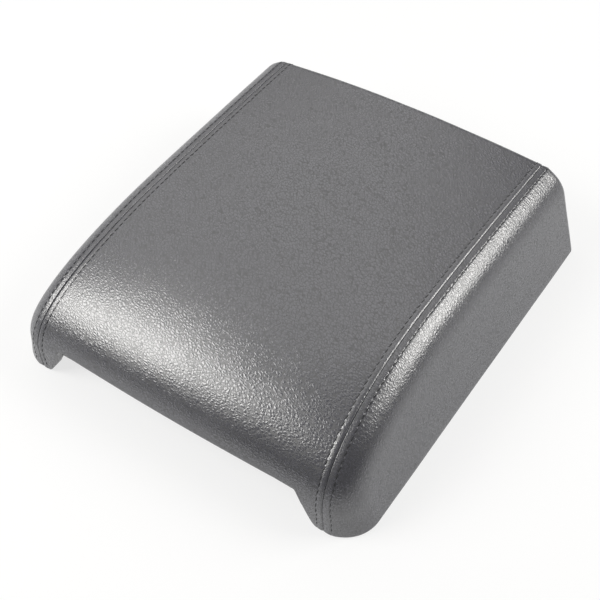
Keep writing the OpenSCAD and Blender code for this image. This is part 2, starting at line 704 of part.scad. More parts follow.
module hinge_bracket() {
    color(steel_colour) bracket(hinge_half_w, hinge_plate_y0, hinge_plate_y1, hinge_y, hinge_pin_h,
        hinge_pin_d, hinge_ear_x, hinge_ear_r, hinge_screw_places);
}
leaf_face_y = hinge_y + knuckle_r;
leaf_hole_mid = (leaf_foot_h + hinge_pin_h - knuckle_r) / 2;
leaf_holes = [for (sx = [-1, 1]) for (sz = [-1, 1])
    [sx * leaf_hole_x / 2, leaf_hole_mid + sz * leaf_hole_z / 2]];
// The knuckle is open in the middle, and its bore is wider than the pin between the bushes
knuckle_gap_half = 12;
knuckle_foot = 2;
bore_clear = 0.6;
leaf_corner_r = 4;
module hinge_leaf() {
    out = knuckle_r + cut;
    color(steel_colour) difference() {
        union() {
            pin_bore(hinge_y, hinge_pin_h, 2 * knuckle_r, leaf_w);
            translate([0, leaf_face_y, 0]) rotate([90, 0, 0]) linear_extrude(leaf_t)
                polygon(round_box(-leaf_w / 2, leaf_w / 2, leaf_foot_h, hinge_pin_h, leaf_corner_r));
        }
        pin_bore(hinge_y, hinge_pin_h, hinge_pin_d + bore_clear, leaf_w + 2 * cut);
        for (sx = [-1, 1]) translate([sx * (leaf_w - bush_l + cut) / 2, 0, 0])
            pin_bore(hinge_y, hinge_pin_h, 2 * bush_bore_r, bush_l + cut);
        translate([-knuckle_gap_half, hinge_y - out, hinge_pin_h - out])
            cube([2 * knuckle_gap_half, out + knuckle_r - leaf_t, 2 * out]);
        translate([-knuckle_gap_half, hinge_y - out, hinge_pin_h - knuckle_foot])
            cube([2 * knuckle_gap_half, 2 * out, knuckle_foot + out]);
        for (p = leaf_holes) translate([p.x, leaf_face_y + cut, p.y]) rotate([90, 0, 0])
            cylinder(d = leaf_hole_d, h = leaf_t + 2 * cut);
    }
}
module hinge_bush(sx) {
    r = (hinge_pin_d + pin_clear) / 2;
    outer = hinge_pin_d / 2 + bush_t;
    rim = knuckle_r - bush_rim_in;
    color(plastic_colour) translate([sx * leaf_w / 2, hinge_y, hinge_pin_h]) rotate([0, sx * 90, 0])
        rotate_extrude() polygon([
            [r, -bush_l], [outer, -bush_l], [outer, 0], [rim, 0], [rim, bush_flange], [r, bush_flange]
        ]);
}
module hinge_pin() {
    color(steel_colour) headed_pin(hinge_y, hinge_pin_h, hinge_pin_d, hinge_ear_x);
}
module hinge_clip() {
    color(steel_colour) pin_clip(hinge_y, hinge_pin_h, hinge_pin_d, hinge_ear_x);
}
module hinge_screws() {
    color(steel_colour) for (p = hinge_screw_places)
        pan_screw(p, liner_plate_h - bracket_t, bracket_screw_d, bracket_screw_l);
}

centre_cover();
left_cover();
right_cover();
foam_pad();
upper_shell();
inner_liner();
liner_screws();
bump_stop(-1, bump_rows[0]);  // bump_stop_front_left
bump_stop(1, bump_rows[0]);  // bump_stop_front_right
bump_stop(-1, bump_rows[1]);  // bump_stop_rear_left
bump_stop(1, bump_rows[1]);  // bump_stop_rear_right
latch_bracket();
latch_paddle();
latch_pin();
latch_clip();
latch_spring();
latch_screws();
hinge_bracket();
hinge_leaf();
hinge_pin();
hinge_bush(-1);  // hinge_bush_left
hinge_bush(1);  // hinge_bush_right
hinge_clip();
hinge_screws();
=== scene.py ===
"""Looks of the centre console armrest: leather panels with their seams and stitching, the foam, and the
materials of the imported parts. Lengths in the form's functions are millimetres; Blender's are metres."""

import math

import bmesh
import bpy
import numpy as np
from mathutils import Matrix, Vector


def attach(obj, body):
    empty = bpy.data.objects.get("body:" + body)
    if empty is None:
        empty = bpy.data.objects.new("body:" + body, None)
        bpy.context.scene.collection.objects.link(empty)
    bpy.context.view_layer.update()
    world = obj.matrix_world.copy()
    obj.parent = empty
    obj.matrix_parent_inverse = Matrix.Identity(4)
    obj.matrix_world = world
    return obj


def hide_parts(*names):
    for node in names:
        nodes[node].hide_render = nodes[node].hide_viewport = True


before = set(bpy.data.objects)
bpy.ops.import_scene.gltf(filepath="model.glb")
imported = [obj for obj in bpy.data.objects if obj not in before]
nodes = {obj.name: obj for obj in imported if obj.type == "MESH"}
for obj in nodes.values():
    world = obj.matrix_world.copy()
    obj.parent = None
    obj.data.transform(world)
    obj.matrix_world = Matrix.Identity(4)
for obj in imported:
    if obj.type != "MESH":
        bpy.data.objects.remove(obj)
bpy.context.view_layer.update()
MM = 0.001

# The form of the lid, as in the part's source
LID_W, LID_L, SEAM_H, CROWN_H, REAR_DROP = 250.0, 258.0, 65.5, 4.5, 4.0
LEAN = math.tan(math.radians(14.0))
SHOULDER_R, REAR_EDGE_R, FRONT_BOW = 21.5, 5.0, 0.8
ROLL_START, ROLL_LEAD, UPRIGHT_H, ROLL_RISE = 116.0, 36.0, 16.0, 42.0
LIP_H, LOBE_HALF_W, ARCH_W = 26.0, 98.5, 15.0
GAP_HALF_W, GAP_H, GAP_SLOPE = 57.0, 44.0, 6.0
SEAM_OUT, HEM_W = 3.3, 7.9
LEATHER_T, FOAM_OUT, FOAM_IN, LAYER_FOOT = 1.3, 1.5, 6.5, 1.5
WALL_FAN, WALL_FAN_RISE, WALL_FAN_RUN = 12.0, 0.55, 100.0
FRONT_Y, REAR_Y = -LID_L / 2, LID_L / 2
FACE_Y, FLAT_Y = FRONT_Y + FRONT_BOW, FRONT_Y + ROLL_START
SEAM_X_FRONT = LID_W / 2 - LEAN * UPRIGHT_H - SHOULDER_R + SEAM_OUT
ROLL = np.array([[FACE_Y, UPRIGHT_H], [FACE_Y, UPRIGHT_H + ROLL_RISE],
    [FLAT_Y - ROLL_LEAD, SEAM_H], [FLAT_Y, SEAM_H]])
REMAP, ROLL_REACH = 1.6, 100.0
LEVEL_AFTER, LEVEL_RUN = 90.0, 40.0
CROWN_FOOT, CROWN_FULL = 5.0, 0.9
BISECTIONS = 26
BAND, ARC, WALL = 0, 1, 2


def smooth(x):
    """0 up to 0, 1 from 1 on, and an even curve between them."""
    t = np.clip(x, 0, 1)
    return t * t * (3 - 2 * t)


def edge_r(d):
    """Radius of the rear edge in a layer at depth d."""
    return np.maximum(REAR_EDGE_R - d, 1.0)


def top_end(d):
    """Where the top ends and the rear edge begins."""
    return REAR_Y - d - edge_r(d)


def top_z(y):
    """Height of the seam line over the flat part. It falls towards the rear."""
    return SEAM_H - REAR_DROP * ((y - FLAT_Y) / (REAR_Y - FLAT_Y)) ** 2


def top_slope(y):
    """Slope that the layers' normals follow over the flat part. It fades out before the rear edge."""
    level = 1 - np.clip((y - FLAT_Y - LEVEL_AFTER) / LEVEL_RUN, 0, 1)
    return 2 * REAR_DROP * (y - FLAT_Y) / (REAR_Y - FLAT_Y) ** 2 * level


def station(u, d):
    """Side profile: [y, z, normal y, normal z] at station u of a layer at depth d."""
    u, d = np.broadcast_arrays(np.asarray(u, float), np.asarray(d, float))
    t = np.clip(u - 1, 0, 1)[..., None]
    r = 1 - t
    p = r ** 3 * ROLL[0] + 3 * t * r ** 2 * ROLL[1] + 3 * t * t * r * ROLL[2] + t ** 3 * ROLL[3]
    g = r ** 2 * (ROLL[1] - ROLL[0]) + 2 * t * r * (ROLL[2] - ROLL[1]) + t * t * (ROLL[3] - ROLL[2])
    g = g / np.linalg.norm(g, axis=-1, keepdims=True)
    y = FLAT_Y + (u - 2) * (top_end(d) - FLAT_Y)
    k = top_slope(y)
    w = 1 / np.sqrt(1 + k * k)
    front, roll = u <= 1, (u > 1) & (u <= 2)
    out = np.empty(u.shape + (4,))
    out[..., 0] = np.where(front, FACE_Y, np.where(roll, p[..., 0], y))
    out[..., 1] = np.where(front, UPRIGHT_H * u, np.where(roll, p[..., 1], top_z(y)))
    out[..., 2] = np.where(front, -1.0, np.where(roll, -g[..., 1], k * w))
    out[..., 3] = np.where(front, 0.0, np.where(roll, g[..., 0], w))
    return out


def arc_x(s):
    """Distance from the middle of the lid to the centre of the shoulder arc."""
    side = LID_W / 2 - LEAN * (s[..., 1] - s[..., 3] * SHOULDER_R)
    return side - SHOULDER_R * np.sqrt(1 + (LEAN * s[..., 3]) ** 2)


def arc_end(s):
    """Angle at which the shoulder arc runs into the leaning side wall."""
    return math.pi / 2 - np.arctan(LEAN * s[..., 3])


def seam_turn(s):
    """Angle of the seam on the shoulder arc: it runs straight down the upright part of the front."""
    return np.arcsin((SEAM_OUT - LEAN * np.maximum(UPRIGHT_H - s[..., 1], 0)) / SHOULDER_R)


def arc_angle(s, place):
    """Angle on the shoulder arc, from the seam at place 0 to the side wall at 1."""
    return seam_turn(s) + (arc_end(s) - seam_turn(s)) * place


def crown_at(z):
    """How far the middle of the centre panel stands out beyond its seams."""
    rise = np.clip((z - CROWN_FOOT) / (SEAM_H * CROWN_FULL - CROWN_FOOT), 0, 1)
    return FRONT_BOW + (CROWN_H - FRONT_BOW) * rise


def front_low(x):
    """Height of the front's lower edge: the lip, and the arches that lead down to the lobes."""
    return LIP_H * (1 - smooth((np.abs(x) - LOBE_HALF_W + ARCH_W) / ARCH_W))


def rear_low(x):
    """Height of the rear's lower edge: the cut-out for the hinge."""
    return GAP_H * (1 - np.clip((np.abs(x) - GAP_HALF_W) / GAP_SLOPE, 0, 1))


def depth_in(s, kind, place, d):
    """How far a point of a layer lies inside the side profile."""
    if kind == BAND:
        return SHOULDER_R - (SHOULDER_R - d) * np.cos(seam_turn(s)) - crown_at(s[..., 1]) * (1 - place ** 2)
    return SHOULDER_R - (SHOULDER_R - d) * np.cos(arc_angle(s, place))


def station_at(z, kind, place, d):
    """Station at which a column comes down to height z, by bisection."""
    lo, hi = np.zeros_like(z), np.full_like(z, REMAP)
    for _ in range(BISECTIONS):
        m = (lo + hi) / 2
        s = station(m, d)
        below = s[..., 1] - s[..., 3] * depth_in(s, kind, place, d) < z
        lo, hi = np.where(below, m, lo), np.where(below, hi, m)
    return (lo + hi) / 2


def section_point(s, kind, place, d, side):
    """The point of a layer at place across the lid, in the section at profile point s."""
    k = depth_in(s, kind, place, d)
    if kind == BAND:
        x = place * (arc_x(s) + (SHOULDER_R - d) * np.sin(seam_turn(s)))
    else:
        x = side * (arc_x(s) + (SHOULDER_R - d) * np.sin(arc_angle(s, place)))
    return np.stack([x, s[..., 0] - s[..., 2] * k, s[..., 1] - s[..., 3] * k], -1)


def wall_foot(e, d, z, side):
    """Where the side wall that starts at e comes down to height z. It fans out round the front corner."""
    spread = 1 - smooth((e[..., 1] - FACE_Y - SHOULDER_R) / WALL_FAN_RUN)
    x = side * (LID_W / 2 - LEAN * z - d * math.sqrt(1 + LEAN * LEAN))
    y = e[..., 1] + spread * (WALL_FAN + WALL_FAN_RISE * (e[..., 2] - z))
    return np.stack([x + 0 * y, y, z + 0 * y], -1)


def reach(u):
    """Length along the front and the roll up to row u, near enough to share rows out by."""
    return np.where(u < 1, UPRIGHT_H * u, UPRIGHT_H + ROLL_REACH * (u - 1))


def remapped(u, start):
    """Rows close up over the recess: they share out the length from the lower edge to station REMAP."""
    r = reach(start) * (1 - reach(u) / reach(REMAP)) + reach(u)
    return np.where(r < UPRIGHT_H, r / UPRIGHT_H, 1 + (r - UPRIGHT_H) / ROLL_REACH)


def layer(u, kind, place, d, foot=0.0, side=1):
    """Points of a layer at depth d, and the profile station of each.
    u is 0 to 3 along the profile, 3 to 4 round the rear edge, 4 to 5 down the rear wall.
    place is -1 to 1 over the band, 0 to 1 round the shoulder, and 0 to 1 down the side wall."""
    u, place, d = np.broadcast_arrays(np.asarray(u, float), np.asarray(place, float), np.asarray(d, float))
    across = np.ones_like(place) if kind == WALL else place
    low = np.full_like(across, foot) + (front_low(across * SEAM_X_FRONT) if kind == BAND else 0)
    start = station_at(low, kind, across, d)
    v = np.where(u < REMAP, remapped(u, start), u)
    p = section_point(station(np.minimum(v, 3.0), d), kind, across, d, side)
    bend = np.clip(u - 3, 0, 1) * (math.pi / 2)
    r = edge_r(d)
    inset = d + r * (1 - np.cos(bend))
    end = top_end(d)
    s = np.stack([end + r * np.sin(bend), top_z(end), 0 * bend, 0 * bend + 1], -1)
    rear = (u > 3)[..., None]
    p = np.where(rear, section_point(s, kind, across, inset, side), p)
    wall = wall_foot(p, d, foot, side)
    x_rear = side * (LID_W / 2 - LEAN * foot - inset * math.sqrt(1 + LEAN * LEAN))
    wall = np.where(rear, np.stack([x_rear, p[..., 1], foot + 0 * bend], -1), wall)
    down = np.clip(u - 4, 0, 1)
    bottom = foot + (rear_low(p[..., 0]) if kind == BAND else 0)
    p[..., 2] += (bottom - p[..., 2]) * down
    if kind == WALL:
        p = p + (wall - p) * place[..., None]
    return p, v


# Rows along the lid and columns across it. TOPSTITCH is the distance from the seam to a row of stitches.
BAND_STEP, SIDE_STEP = 0.75, 0.45
TOPSTITCH = 3.9
SEAM_SAMPLES = 6000


def seam_length():
    """Length along the seam line against the row number, from the front foot to the rear edge."""
    u = np.linspace(0, 3, SEAM_SAMPLES)
    p, v = layer(u, ARC, 0.0, 0.0)
    length = np.concatenate([[0], np.cumsum(np.linalg.norm(np.diff(p, axis=0), axis=1))])
    return u, v, length


SEAM_U, SEAM_V, SEAM_S = seam_length()
SEAM_TOTAL = SEAM_S[-1]


def along(v):
    """Distance along the seam of a profile station."""
    return np.interp(v, SEAM_V, SEAM_S)


# Distances of the columns from the seam, and heights of the rows in a rounded lower edge
NEAR_SEAM = [0, 0.08, 0.18, 0.3, 0.45, 0.65, 0.88, 1.08, 1.3, 1.7, 2.2, 2.7, 3.1, 3.4, 3.6, 3.75,
    3.9, 4.05, 4.2, 4.4, 4.7, 5.1, 5.6, 6.2, 6.9, 7.7, 8.7]
EDGE_R = 1.3
EDGE_STEPS = [0, 0.07, 0.18, 0.34, 0.56, 0.86, 1.3]


def grid_normals(p):
    """Unit normals of a grid of points."""
    du, dv = np.gradient(p, axis=0), np.gradient(p, axis=1)
    n = np.cross(du, dv)
    size = np.linalg.norm(n, axis=-1, keepdims=True)
    return n / np.maximum(size, 1e-9)


def value_noise(x, seed):
    """Smooth noise on a line, -1 to 1, one value a unit."""
    rng = np.random.default_rng(seed)
    table = rng.uniform(-1, 1, 4096)
    i = np.floor(x).astype(int)
    f = x - i
    f = f * f * (3 - 2 * f)
    return table[i % 4096] * (1 - f) + table[(i + 1) % 4096] * f


def noise2(x, y, seed):
    """Smooth noise on a plane, -1 to 1, one value a unit square."""
    rng = np.random.default_rng(seed)
    table = rng.uniform(-1, 1, (64, 64))
    i, j = np.floor(x).astype(int), np.floor(y).astype(int)
    f, g = x - i, y - j
    f, g = f * f * (3 - 2 * f), g * g * (3 - 2 * g)
    a, b = table[i % 64, j % 64], table[(i + 1) % 64, j % 64]
    c, e = table[i % 64, (j + 1) % 64], table[(i + 1) % 64, (j + 1) % 64]
    return (a * (1 - f) + b * f) * (1 - g) + (c * (1 - f) + e * f) * g


# Relief of the leather, along its normal
STITCH_PITCH, STITCH_LEN = 4.3, 3.5
FURROW_WIDE, HOLE_WIDE = 0.6, 0.3
CENTRE_FURROW, SIDE_FURROW = 0.028, 0.09
FOLD_WIDE, FOLD_DEEP, PUFF_RISE = 1.15, 0.42, 0.2
CREVICE_WIDE, CREVICE_DEEP = 0.2, 1.2
BUTT_WIDE, BUTT_DEEP = 0.5, 0.35
SHOULDER_DROP, SHOULDER_RUN = 0.4, 5.5
PUCKER_PITCH, PUCKER_RUN, PUCKER_HIGH = 2.7, 9.0, 0.045
PUCKER_STRAY, PUCKER_SPREAD = 0.7, 0.012
RIPPLE_PITCH, RIPPLE_HIGH = 1.9, 0.03


def stitch_row(s, t, deep):
    """The furrow that a row of topstitching draws into the leather, deepest at the needle holes."""
    phase = np.cos(2 * math.pi * s / STITCH_PITCH)
    wide = np.exp(-((t - TOPSTITCH) / FURROW_WIDE) ** 2)
    narrow = np.exp(-((t - TOPSTITCH) / HOLE_WIDE) ** 2)
    return -deep * (wide + (1 + phase) * narrow)


def rounded(t, wide, deep):
    """An edge that rounds off by a depth over a width, steepest at the seam."""
    return -deep * (1 - np.sqrt(1 - np.clip(1 - t / wide, 0, 1) ** 2))


def puckers(s, t, seed):
    """Fine gathers that run away from the outer row across the shoulder."""
    stray = PUCKER_STRAY * value_noise(s / 7.5, seed) + PUCKER_SPREAD * t * value_noise(s / 19, seed + 4)
    turn = s / PUCKER_PITCH + stray
    wave = 0.75 * np.sin(2 * math.pi * turn) + 0.5 * value_noise(s / 0.95 + 0.05 * t, seed + 1)
    strength = 0.75 + 0.45 * value_noise(s / 26, seed + 2)
    away = t - TOPSTITCH
    return wave * strength * smooth((away - 0.1) / 0.7) * (1 - smooth((away - 1) / PUCKER_RUN))


def centre_relief(s, t, seed):
    """The centre panel puffs up between its row and the seam, where it folds down over its edge."""
    fold = -FOLD_DEEP * np.clip(1 - t / FOLD_WIDE, 0, 1) ** 1.5
    fold = fold + rounded(t, CREVICE_WIDE, CREVICE_DEEP)
    puff = PUFF_RISE * np.sin(math.pi * np.clip(t / TOPSTITCH, 0, 1))
    ripple = RIPPLE_HIGH * value_noise(s / RIPPLE_PITCH, seed + 3)
    ripple = ripple * smooth((t - 1) / 1.5) * (1 - smooth((t - 5) / 5))
    return fold + puff + stitch_row(s, t, CENTRE_FURROW) + ripple


def side_relief(s, t, seed):
    """The side panel lies flat up to its row, then drops steeply into the gathered shoulder."""
    butt = rounded(t, CREVICE_WIDE, CREVICE_DEEP) + rounded(t, BUTT_WIDE, BUTT_DEEP)
    held = SHOULDER_DROP * smooth(t / TOPSTITCH) * np.clip(1 - (t - TOPSTITCH) / SHOULDER_RUN, 0, 1) ** 2
    return butt + held + stitch_row(s, t, SIDE_FURROW) + PUCKER_HIGH * puckers(s, t, seed)


def edge_inset(h):
    """How far the leather has turned in at height h above a lower edge."""
    k = np.clip(EDGE_R - h, 0, EDGE_R)
    return EDGE_R - np.sqrt(EDGE_R ** 2 - k ** 2)


def mesh_object(name, verts, faces, materials, index=None):
    """A smooth mesh from points in millimetres. index gives each face's place in materials."""
    mesh = bpy.data.meshes.new(name)
    mesh.from_pydata((np.asarray(verts) * MM).tolist(), [], [list(map(int, f)) for f in faces])
    for m in materials:
        mesh.materials.append(m)
    if index is not None:
        mesh.polygons.foreach_set("material_index", np.asarray(index, np.int32))
    mesh.polygons.foreach_set("use_smooth", np.ones(len(mesh.polygons), bool))
    mesh.update()
    obj = bpy.data.objects.new(name, mesh)
    bpy.context.scene.collection.objects.link(obj)
    return obj


# In metres
WELD_DIST, SLIVER_DIST = 2e-6, 1e-6


def closed_shell(name, outer, inner, stride, materials, close=()):
    """A closed skin: the fine outer grid, the inner grid at every stride-th point, and a rim that joins them.
    The columns in close are all kept in the inner grid."""
    m, n = outer.shape[:2]
    rows = sorted(set(range(0, m, stride)) | {m - 1})
    cols = sorted(set(range(0, n, stride)) | {n - 1} | set(close))
    back = inner[np.ix_(rows, cols)]
    base = m * n
    faces, index = [], []

    def quad(a, b, c, d, material):
        faces.append((a, b, c, d))
        index.append(material)

    for i in range(m - 1):
        k = i * n
        for j in range(n - 1):
            quad(k + j, k + j + 1, k + n + j + 1, k + n + j, 0)
    w = len(cols)
    for i in range(len(rows) - 1):
        for j in range(w - 1):
            k = base + i * w + j
            quad(k + w, k + w + 1, k + 1, k, 1)

    def rim(fine, coarse, at):
        """Joins two lists of point numbers along one edge. at gives the coarse ones' places in the fine."""
        for q in range(len(coarse) - 1):
            lo, hi = at[q], at[q + 1]
            mid = (lo + hi) // 2
            for k in range(lo, hi):
                faces.append((fine[k + 1], fine[k], coarse[q] if k < mid else coarse[q + 1]))
                index.append(1)
            faces.append((fine[mid], coarse[q], coarse[q + 1]))
            index.append(1)

    def along_row(i, r):
        return [i * n + j for j in range(n)], [base + r * w + j for j in range(w)], cols

    def along_col(j, c):
        return [i * n + j for i in range(m)], [base + r * w + c for r in range(len(rows))], rows

    rim(*along_row(0, 0))
    fine, coarse, at = along_row(m - 1, len(rows) - 1)
    rim([*reversed(fine)], [*reversed(coarse)], [n - 1 - a for a in reversed(at)])
    fine, coarse, at = along_col(0, 0)
    rim([*reversed(fine)], [*reversed(coarse)], [m - 1 - a for a in reversed(at)])
    rim(*along_col(n - 1, w - 1))
    verts = np.concatenate([outer.reshape(-1, 3), back.reshape(-1, 3)])
    obj = mesh_object(name, verts, faces, materials, index)
    mend = bmesh.new()
    mend.from_mesh(obj.data)
    bmesh.ops.remove_doubles(mend, verts=mend.verts, dist=WELD_DIST)
    bmesh.ops.dissolve_degenerate(mend, edges=mend.edges, dist=SLIVER_DIST)
    bmesh.ops.recalc_face_normals(mend, faces=mend.faces)
    mend.to_mesh(obj.data)
    mend.free()
    return obj


# Depths of the turned-in hem's rows, and the lengths round the rear edge and down the rear wall
HEM_DEPTHS = [HEM_W, 6.0, 4.4, 3.0]
FILLET_LEN = REAR_EDGE_R * math.pi / 2
REAR_DROP_LEN = 56.0
REAR_SPAN, REAR_ROWS, FILLET_ROWS = 50.0, 16, 9
REAR_LOW_FROM, NO_EDGE = 3.9, -1e3


def panel_rows(step):
    """Row numbers and hem depths, from the front hem over the lid to the rear hem."""
    fine = np.array(EDGE_STEPS[1:-1])
    s = np.concatenate([[0], fine, np.linspace(EDGE_R, SEAM_TOTAL, int(SEAM_TOTAL / step))])
    u = np.interp(s, SEAM_S, SEAM_U)
    wall = np.linspace(0, 1 - EDGE_R / REAR_SPAN, REAR_ROWS)[1:]
    wall = np.concatenate([wall, 1 - np.array(EDGE_STEPS[:-1])[::-1] / REAR_SPAN])
    u = np.concatenate([u, 3 + np.linspace(0, 1, FILLET_ROWS)[1:], 4 + wall])
    hem = np.array(HEM_DEPTHS)
    u = np.concatenate([0 * hem, u, 0 * hem + 5])
    d = np.concatenate([hem, np.zeros(len(u) - 2 * len(hem)), hem[::-1]])
    return u, d


def distance_on(u, v):
    """Distance along the seam for row u at profile station v."""
    behind = np.clip(u - 3, 0, 1) * FILLET_LEN + np.clip(u - 4, 0, 1) * REAR_DROP_LEN
    return np.where(u <= 3, along(v), SEAM_TOTAL + behind)


WAVE_HIGH, DIMPLE_HIGH = 0.16, 0.07


def soft_waves(p, seed):
    """Slow unevenness of the foam under the leather, in millimetres."""
    a = noise2(p[..., 0] / 46 + 9, p[..., 1] / 52 + 7, seed)
    b = noise2((p[..., 0] + p[..., 2]) / 21 + 5, (p[..., 1] - p[..., 2]) / 24 + 3, seed + 1)
    return WAVE_HIGH * a + DIMPLE_HIGH * b


def finish_outer(p, relief, low, hem_rows, hem_cols, outward):
    """Adds the relief to a grid and rounds its lower edges. outward gives the way its normals point."""
    core = p[hem_rows:p.shape[0] - hem_rows, :p.shape[1] - hem_cols or None]
    n = grid_normals(core)
    n *= np.sign(np.sum(n * outward(core), -1, keepdims=True).mean())
    height = np.maximum(core[..., 2] - low, 0)
    shift = relief - edge_inset(height)
    q = p.copy()
    q[hem_rows:p.shape[0] - hem_rows, :p.shape[1] - hem_cols or None] = core + n * shift[..., None]
    q[..., 2] = np.maximum(q[..., 2], 0)
    return q


ARCH_STEP, MIDDLE_COLUMNS, SHOULDER_COLUMNS, WALL_COLUMNS = 1.2, 62, 19, 15


def band_columns():
    """The centre panel's columns, as distances from the middle: dense at the seams and at the arch's ends."""
    near = np.array(NEAR_SEAM)
    arch = np.arange(near[-1] + ARCH_STEP, SEAM_X_FRONT - LOBE_HALF_W + ARCH_W + 2, ARCH_STEP)
    edge = SEAM_X_FRONT - np.concatenate([near, arch])
    mid = np.linspace(-edge[-1], edge[-1], MIDDLE_COLUMNS)[1:-1]
    return np.concatenate([-edge, mid, edge[::-1]])


def band_panel():
    """Outer and inner grid of the centre panel."""
    u, d = panel_rows(BAND_STEP)
    place = (band_columns() / SEAM_X_FRONT)[None, :]
    u, d = u[:, None], d[:, None]
    p, v = layer(u, BAND, place, d)
    inner, _ = layer(u, BAND, place, np.maximum(d, LEATHER_T), LEATHER_T)
    k = len(HEM_DEPTHS)
    core = p[k:-k]
    s = distance_on(u, v)[k:-k]
    t = (1 - np.abs(place)) * np.abs(core[:, -1:, 0])
    relief = np.where(core[..., 0] < 0, centre_relief(s, t, 11), centre_relief(s, t, 21))
    relief = relief + soft_waves(core, 31) * smooth(t / 20) * smooth((s - 6) / 20)
    behind = np.where(u[k:-k] > REAR_LOW_FROM, rear_low(core[..., 0]), NO_EDGE)
    low = np.where(u[k:-k] < 2, front_low(place * SEAM_X_FRONT), behind)
    outer = finish_outer(p, relief, low, k, 0, lambda c: np.array([0, -0.3, 1.0]))
    return outer, inner


def side_panel(side, seed):
    """Outer and inner grid of a side panel: the shoulder, the wall, its rounded lower edge and the hem."""
    u, d = panel_rows(SIDE_STEP)
    u, d = u[:, None], d[:, None]
    arc_len = SHOULDER_R * (math.pi / 2 - math.atan(LEAN) - math.asin(SEAM_OUT / SHOULDER_R))
    near = np.array(NEAR_SEAM)
    t_arc = np.concatenate([near, np.linspace(near[-1], arc_len, SHOULDER_COLUMNS)[1:]])
    place = (t_arc / arc_len)[None, :]
    p_arc, v = layer(u, ARC, place, d, 0.0, side)
    i_arc, _ = layer(u, ARC, place, np.maximum(d, LEATHER_T), LEATHER_T, side)
    top, _ = layer(u, WALL, 0.0, d, 0.0, side)
    foot, _ = layer(u, WALL, 1.0, d, 0.0, side)
    length = np.linalg.norm(foot - top, axis=-1, keepdims=True)[..., 0]
    edge = np.array(EDGE_STEPS[::-1])[None, :]
    w_edge = 1 - edge / np.maximum(length, 3 * EDGE_R)
    w_mid = np.linspace(0, 1, WALL_COLUMNS)[None, 1:-1] * w_edge[:, :1]
    w = np.concatenate([w_mid, w_edge], 1)
    p_wall, _ = layer(u, WALL, w, d, 0.0, side)
    i_wall, _ = layer(u, WALL, w, np.maximum(d, LEATHER_T), LEATHER_T, side)
    hem = np.array(HEM_DEPTHS[::-1])[None, :]
    deep = np.maximum(d, hem)
    p_hem, _ = layer(u, WALL, 1.0, deep, 0.0, side)
    i_hem, _ = layer(u, WALL, 1.0, deep, LEATHER_T, side)
    p, inner = np.concatenate([p_arc, p_wall, p_hem], 1), np.concatenate([i_arc, i_wall, i_hem], 1)
    k = len(HEM_DEPTHS)
    core = p[k:-k, :-k]
    s = distance_on(u, v)[k:-k, :1] + 0 * core[..., 0]
    t = np.concatenate([np.broadcast_to(t_arc, (len(u), len(t_arc))), arc_len + w * length], 1)[k:-k]
    relief = side_relief(s, t, seed)
    relief = relief + soft_waves(core, seed + 7) * smooth((t - 6) / 14) * smooth((s - 6) / 20)
    outer = finish_outer(p, relief, 0.0, k, k, lambda c: np.array([side * 1.0, -0.2, 0.6]))
    return outer, inner


ACROSS = 5


def line_at(outer, column):
    """One column of a panel's outer grid between the hems, with its normals."""
    k = len(HEM_DEPTHS)
    core = outer[k:-k]
    p = core[:, column]
    across = core[:, column + ACROSS] - core[:, column - ACROSS]
    n = np.cross(np.gradient(p, axis=0), across)
    return p, n / np.linalg.norm(n, axis=1, keepdims=True)


# Stitches: thread radius, how deep the ends sink, how high the middle rises, and how far the ends slant
THREAD_R, STITCH_SINK, STITCH_RISE, STITCH_SLANT = 0.24, 0.14, 0.2, 0.2
THREAD_SIDES, THREAD_RINGS, ROW_END, STITCH_STRAY = 7, 8, 4, 0.08


def stitches(name, p, n, s, outward, first, material):
    """One row of topstitching: a short arched tube for each stitch."""
    n = n * np.sign((n * outward).sum(1).mean())
    starts = np.arange(first, s[-1] - ROW_END, STITCH_PITCH)
    share = np.linspace(0, 1, THREAD_RINGS)
    sides = THREAD_SIDES
    verts, faces = [], []
    rng = np.random.default_rng(len(name) + int(first * 10))
    for s0 in starts:
        stray = rng.uniform(-STITCH_STRAY, STITCH_STRAY)
        at = s0 + (STITCH_PITCH - STITCH_LEN) / 2 + share * STITCH_LEN + stray
        c = np.stack([np.interp(at, s, p[:, k]) for k in range(3)], -1)
        m = np.stack([np.interp(at, s, n[:, k]) for k in range(3)], -1)
        m /= np.linalg.norm(m, axis=1, keepdims=True)
        run = np.gradient(c, axis=0)
        run /= np.linalg.norm(run, axis=1, keepdims=True)
        b = np.cross(run, m)
        arch = np.sin(share * math.pi) ** 0.6
        rise, slant = STITCH_RISE * arch - STITCH_SINK, STITCH_SLANT * (2 * share - 1)
        c = c + m * rise[:, None] + b * slant[:, None]
        r = THREAD_R * (0.55 + 0.45 * np.sin(share * math.pi) ** 0.4)
        base = len(verts)
        for i in range(len(share)):
            for a in np.linspace(0, 2 * math.pi, sides, endpoint=False):
                verts.append(c[i] + r[i] * (math.cos(a) * m[i] + math.sin(a) * b[i]))
        for i in range(len(share) - 1):
            for a in range(sides):
                q = base + i * sides
                faces.append((q + a, q + (a + 1) % sides, q + sides + (a + 1) % sides, q + sides + a))
        faces.append(tuple(base + a for a in reversed(range(sides))))
        faces.append(tuple(base + (len(share) - 1) * sides + a for a in range(sides)))
    return mesh_object(name, verts, faces, [material])


def new_material(name):
    """A material with one principled shader, and the object's own coordinates."""
    m = bpy.data.materials.new(name)
    m.use_nodes = True
    tree = m.node_tree
    tree.nodes.clear()
    out = tree.nodes.new("ShaderNodeOutputMaterial")
    shader = tree.nodes.new("ShaderNodeBsdfPrincipled")
    tree.links.new(shader.outputs[0], out.inputs[0])
    coord = tree.nodes.new("ShaderNodeTexCoord")
    return m, tree, shader, coord.outputs["Object"]


